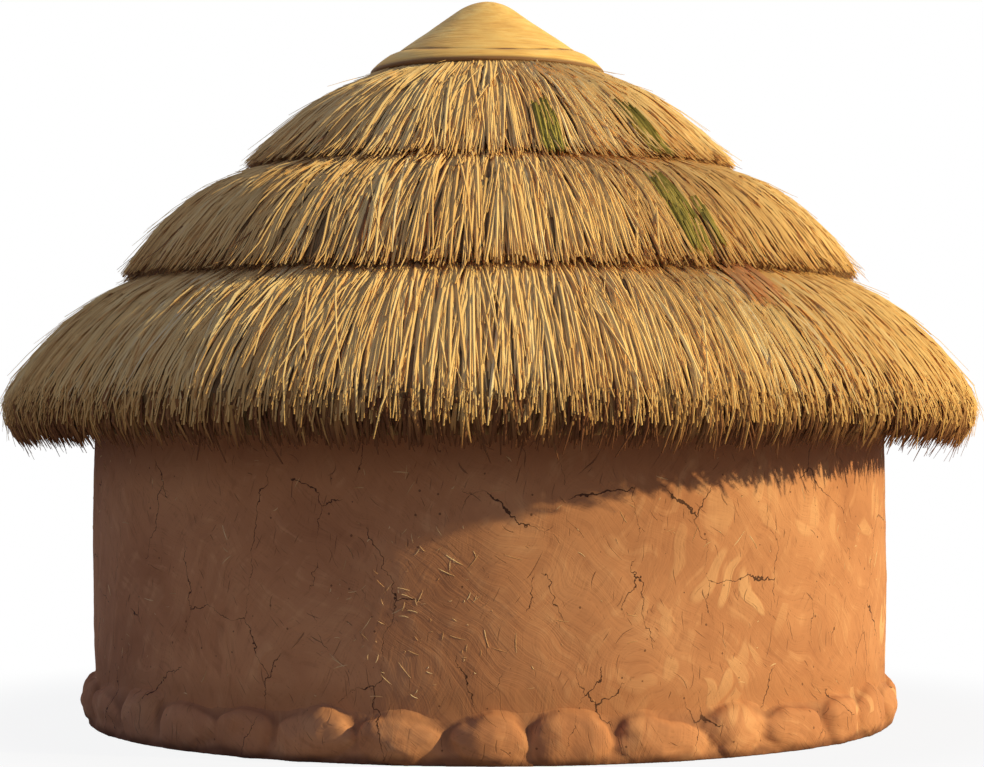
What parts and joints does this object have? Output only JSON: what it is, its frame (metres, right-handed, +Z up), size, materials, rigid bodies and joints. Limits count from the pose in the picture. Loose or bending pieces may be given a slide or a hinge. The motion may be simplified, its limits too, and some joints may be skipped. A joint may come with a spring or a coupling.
{
  "type": "rondavel hut",
  "caption": "Round mud-walled rondavel hut on a boulder footing, with a stepped conical thatch roof on poles, a smooth cap and an open doorway.",
  "frame": {"origin": "on the ground at the centre of the round room, at the bottom centre of the hut", "axes": "+Z up through the roof's peak; the doorway faces +Y and the plain side of the wall that the picture shows faces -Y"},
  "size_m": [6.064, 6.0642, 4.5797],
  "materials": {
    "mud_wall": "hand-smeared sun-dried mud with straw, matt",
    "footing_stone": "rounded boulders daubed with the same mud, matt",
    "thatch": "dry grass stems, matt",
    "ridge_cap": "smooth daub with brush marks, matt",
    "roof_poles": "peeled poles, matt",
    "laths": "split sticks, matt",
    "door_timber": "adzed and weathered, matt"
  },
  "bodies": {
    "root": {"wall_bay_01": "mud_wall", "wall_bay_02": "mud_wall", "wall_bay_03": "mud_wall", "wall_bay_04": "mud_wall", "wall_bay_05": "mud_wall", "wall_bay_06": "mud_wall", "wall_bay_07": "mud_wall", "wall_bay_08": "mud_wall", "wall_bay_09": "mud_wall", "wall_bay_10": "mud_wall", "wall_bay_11": "mud_wall", "wall_bay_12": "mud_wall", "wall_over_doorway": "mud_wall", "footing_stones_back_left": "footing_stone", "footing_stones_front_left": "footing_stone", "footing_stones_front_right": "footing_stone", "footing_stones_back_right": "footing_stone", "door_post_left": "door_timber", "door_post_right": "door_timber", "door_lintel": "door_timber", "door_sill": "door_timber", "wall_plate": "roof_poles", "rafter_01": "roof_poles", "rafter_02": "roof_poles", "rafter_03": "roof_poles", "rafter_04": "roof_poles", "rafter_05": "roof_poles", "rafter_06": "roof_poles", "rafter_07": "roof_poles", "rafter_08": "roof_poles", "rafter_09": "roof_poles", "rafter_10": "roof_poles", "rafter_11": "roof_poles", "rafter_12": "roof_poles", "rafter_13": "roof_poles", "rafter_14": "roof_poles", "rafter_15": "roof_poles", "rafter_16": "roof_poles", "apex_hub": "roof_poles", "lath_hoops": "laths", "thatch_lower_course": "thatch", "thatch_middle_course": "thatch", "thatch_upper_course": "thatch", "ridge_cap": "ridge_cap"}
  },
  "joints": []
}
